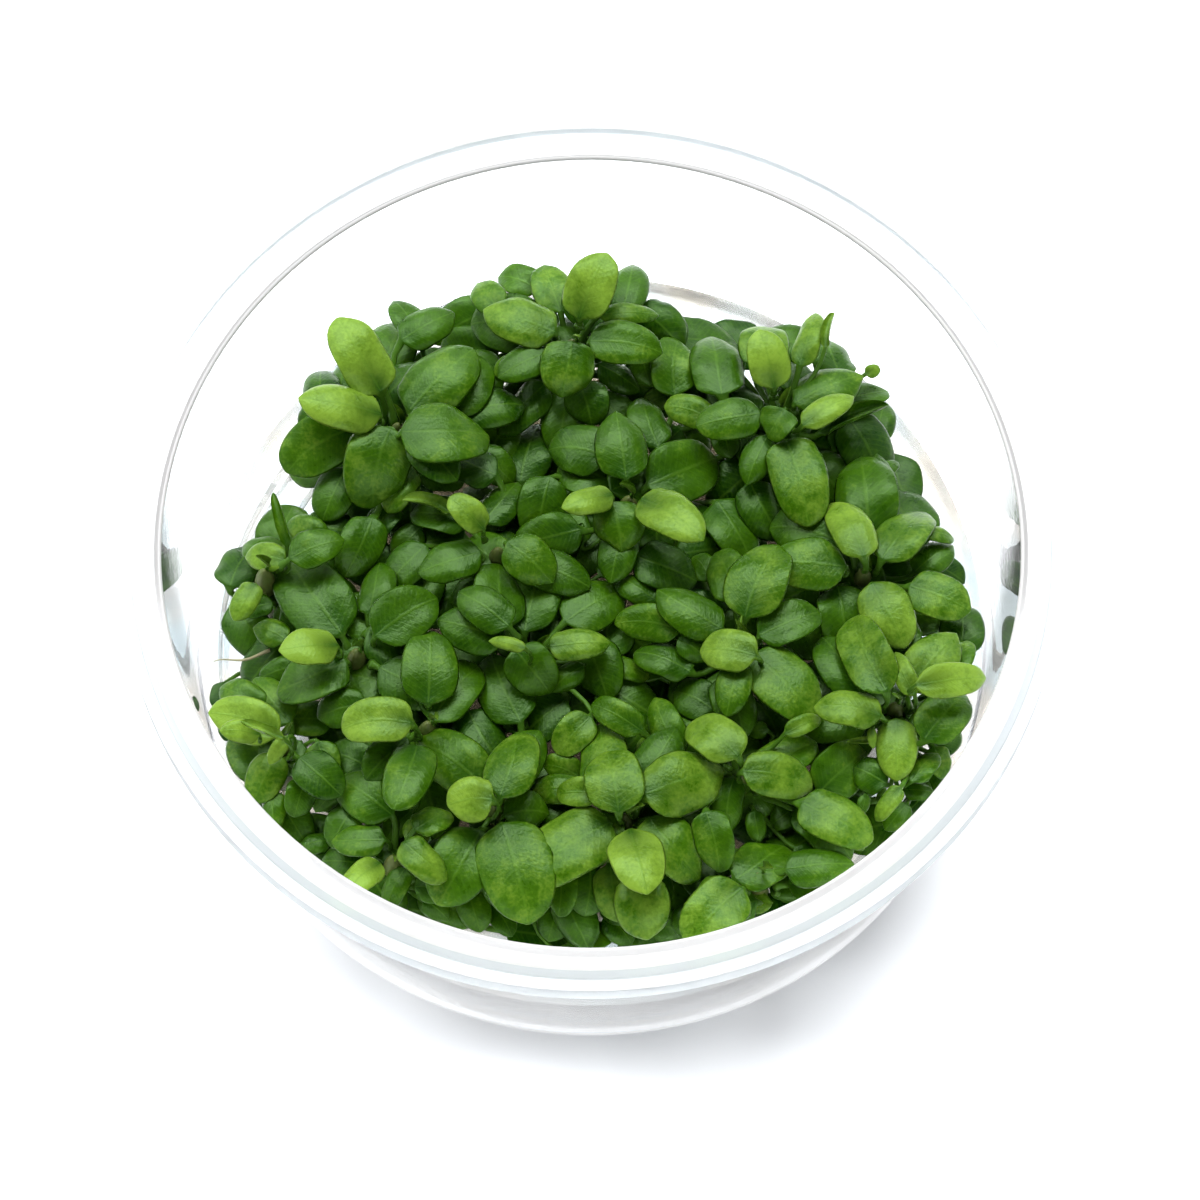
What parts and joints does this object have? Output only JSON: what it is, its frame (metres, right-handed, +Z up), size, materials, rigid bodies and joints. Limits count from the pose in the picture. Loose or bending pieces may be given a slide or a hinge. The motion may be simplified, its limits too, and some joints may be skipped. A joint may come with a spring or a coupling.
{
  "type": "tissue culture anubias",
  "caption": "Clear round tissue culture cup with nutrient gel and a dense clump of small anubias plantlets.",
  "frame": {"origin": "centre of the circle that the foot ring stands on", "axes": "+Z up along the cup's axis, -Y towards the camera of the picture"},
  "size_m": [0.1, 0.1, 0.038],
  "materials": {
    "cup_plastic": "clear colourless moulded plastic, glossy",
    "gel": "clear colourless set gel, wet and smooth",
    "plantlet": "dark green waxy plant tissue",
    "leaf": "green waxy leaf with a soft sheen"
  },
  "bodies": {
    "root": {"cup": "cup_plastic", "nutrient_gel": "gel", "plantlet_01": "plantlet", "plantlet_01_leaf_a": "leaf", "plantlet_01_leaf_b": "leaf", "plantlet_01_leaf_c": "leaf", "plantlet_02": "plantlet", "plantlet_02_leaf_a": "leaf", "plantlet_02_leaf_b": "leaf", "plantlet_02_leaf_c": "leaf", "plantlet_02_leaf_d": "leaf", "plantlet_03": "plantlet", "plantlet_03_leaf_a": "leaf", "plantlet_03_leaf_b": "leaf", "plantlet_03_leaf_c": "leaf", "plantlet_03_leaf_d": "leaf", "plantlet_04": "plantlet", "plantlet_04_leaf_a": "leaf", "plantlet_04_leaf_b": "leaf", "plantlet_04_leaf_c": "leaf", "plantlet_05": "plantlet", "plantlet_05_leaf_a": "leaf", "plantlet_05_leaf_b": "leaf", "plantlet_06": "plantlet", "plantlet_06_leaf_a": "leaf", "plantlet_06_leaf_b": "leaf", "plantlet_06_leaf_c": "leaf", "plantlet_07": "plantlet", "plantlet_07_leaf_a": "leaf", "plantlet_07_leaf_b": "leaf", "plantlet_07_leaf_c": "leaf", "plantlet_08": "plantlet", "plantlet_08_leaf_a": "leaf", "plantlet_08_leaf_b": "leaf", "plantlet_09": "plantlet", "plantlet_09_leaf_a": "leaf", "plantlet_09_leaf_b": "leaf", "plantlet_09_leaf_c": "leaf", "plantlet_10": "plantlet", "plantlet_10_leaf_a": "leaf", "plantlet_10_leaf_b": "leaf", "plantlet_11": "plantlet", "plantlet_11_leaf_a": "leaf", "plantlet_11_leaf_b": "leaf", "plantlet_12": "plantlet", "plantlet_12_leaf_a": "leaf", "plantlet_12_leaf_b": "leaf", "plantlet_13": "plantlet", "plantlet_13_leaf_a": "leaf", "plantlet_13_leaf_b": "leaf", "plantlet_14": "plantlet", "plantlet_14_leaf_a": "leaf", "plantlet_15": "plantlet", "plantlet_15_leaf_a": "leaf", "plantlet_16": "plantlet", "plantlet_16_leaf_a": "leaf", "plantlet_17": "plantlet", "plantlet_17_leaf_a": "leaf", "plantlet_18": "plantlet", "plantlet_18_leaf_a": "leaf"}
  },
  "joints": []
}
